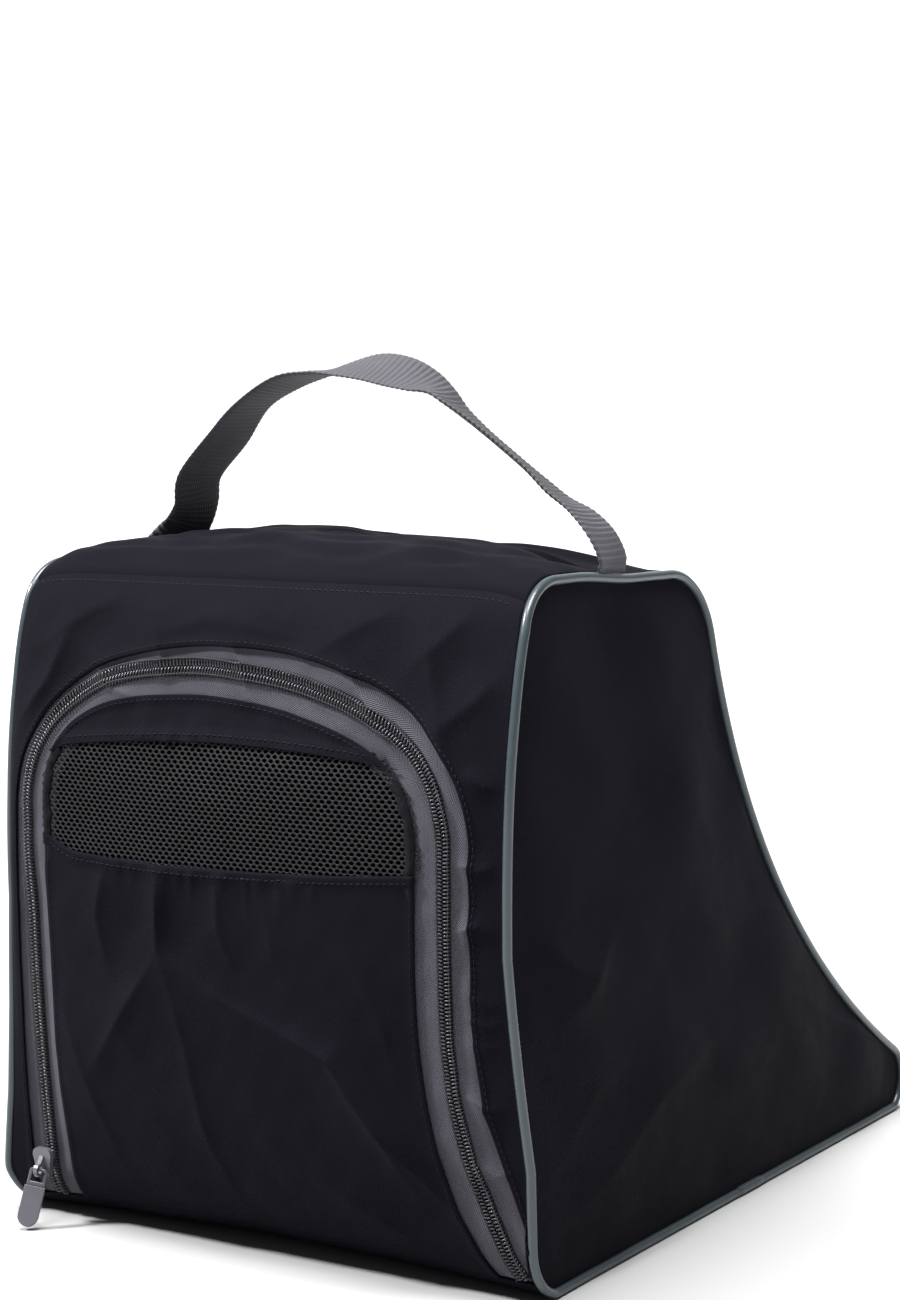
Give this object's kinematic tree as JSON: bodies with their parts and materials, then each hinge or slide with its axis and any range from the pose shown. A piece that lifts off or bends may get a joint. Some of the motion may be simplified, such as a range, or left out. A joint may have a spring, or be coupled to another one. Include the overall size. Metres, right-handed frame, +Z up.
{
  "type": "shoe bag",
  "caption": "Wedge-shaped soft shoe bag with a zipped front flap, mesh window, piped side panels and a webbing carry handle.",
  "frame": {"origin": "middle of the flat underside, on the floor, halfway between the front face and the toe", "axes": "+Z up, -Y out of the zipped front flap, +Y towards the toe, +X to the right as seen from the front"},
  "size_m": [0.282, 0.4233, 0.3924],
  "materials": {
    "shell_fabric": "black coated twill",
    "window_mesh": "black knitted hexagonal net",
    "base_board": "stiffener sheet",
    "piping": "glossy grey-green vinyl",
    "zip_tape": "grey herringbone tape",
    "zip_coil": "dark grey nylon coil",
    "slider_metal": "grey painted die casting",
    "pull_grip": "grey moulded grip",
    "webbing": "grey ribbed webbing",
    "binding": "black binding tape"
  },
  "bodies": {
    "shell": {"front_panel": "shell_fabric", "top_panel": "shell_fabric", "back_panel": "shell_fabric", "base_panel": "shell_fabric", "base_board": "base_board", "zip_tape_frame": "zip_tape", "zip_coil_frame": "zip_coil", "front_top_binding": "binding", "back_top_binding": "binding", "toe_binding": "binding", "hem_binding": "binding", "left_side_panel": "shell_fabric", "left_side_binding": "binding", "left_piping": "piping", "left_piping_joint": "piping", "left_handle_foot": "webbing", "right_side_panel": "shell_fabric", "right_side_binding": "binding", "right_piping": "piping", "right_piping_joint": "piping", "right_handle_foot": "webbing"},
    "flap": {"flap_lower_panel": "shell_fabric", "flap_window_mesh": "window_mesh", "flap_top_band": "shell_fabric", "zip_tape_flap": "zip_tape", "zip_coil_flap": "zip_coil"},
    "slider": {"slider_body": "slider_metal", "slider_crown": "slider_metal"},
    "pull": {"pull_link": "slider_metal", "pull_grip": "pull_grip"},
    "handle": {"handle_strap": "webbing"}
  },
  "joints": [
    {"name": "flap_fold", "type": "hinge", "parent": "shell", "child": "flap", "pos_m": [0, -0.1912, 0.0088], "axis": [1, 0, 0], "range_deg": [0, 68]},
    {"name": "slider_run", "type": "slide", "parent": "flap", "child": "slider", "axis": [0, -0.0941, 0.9956], "range_m": [0, 0.112]},
    {"name": "pull_swing", "type": "hinge", "parent": "slider", "child": "pull", "pos_m": [-0.115, -0.20945, 0.02547], "axis": [0.8365, 0.5052, -0.2122], "range_deg": [-128, 8]},
    {"name": "handle_swing", "type": "hinge", "parent": "shell", "child": "handle", "pos_m": [0, -0.115, 0.3035], "axis": [1, 0, 0], "range_deg": [-60, 60], "deforming": ["left_handle_foot", "right_handle_foot"]}
  ]
}
